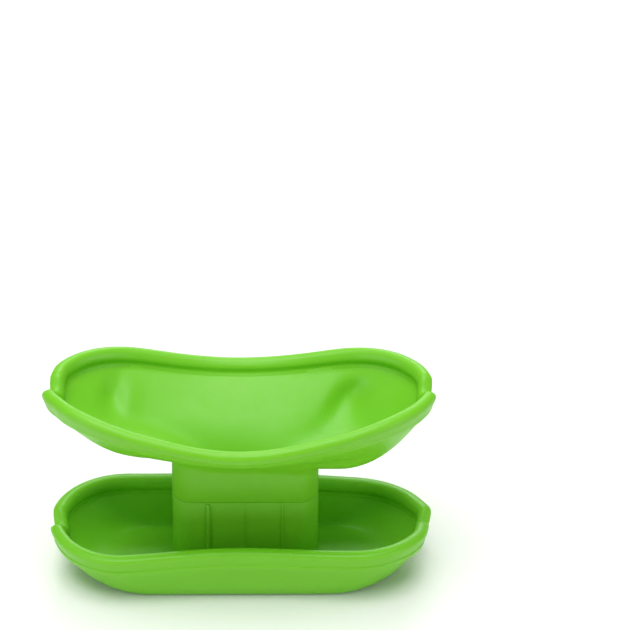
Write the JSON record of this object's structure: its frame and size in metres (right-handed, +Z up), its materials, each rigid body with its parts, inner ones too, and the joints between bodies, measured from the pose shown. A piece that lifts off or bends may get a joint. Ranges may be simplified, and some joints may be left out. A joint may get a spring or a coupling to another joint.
{
  "type": "earphone case",
  "caption": "Soft silicone earphone case: long rounded half shells joined back to back at a hollow winding core, with the upper half turned inside out so that its bowl opens upwards.",
  "frame": {"origin": "middle of the flat floor's underside, on which the pod stands", "axes": "+X along the pod, +Y across it, away from the side that the picture shows, +Z up through the core"},
  "size_m": [0.1001, 0.0482, 0.0569],
  "materials": {
    "silicone": "satin"
  },
  "bodies": {
    "base": {"lower_floor": "silicone", "lower_wall": "silicone", "lower_lip": "silicone", "lower_core": "silicone", "upper_core": "silicone", "upper_crown": "silicone", "upper_wall": "silicone"},
    "upper_rim": {"upper_lip": "silicone"}
  },
  "joints": [
    {"name": "upper_flip", "type": "slide", "parent": "base", "child": "upper_rim", "axis": [0, 0, -1], "range_m": [0, 0.036], "deforming": ["upper_wall", "upper_lip"]}
  ]
}
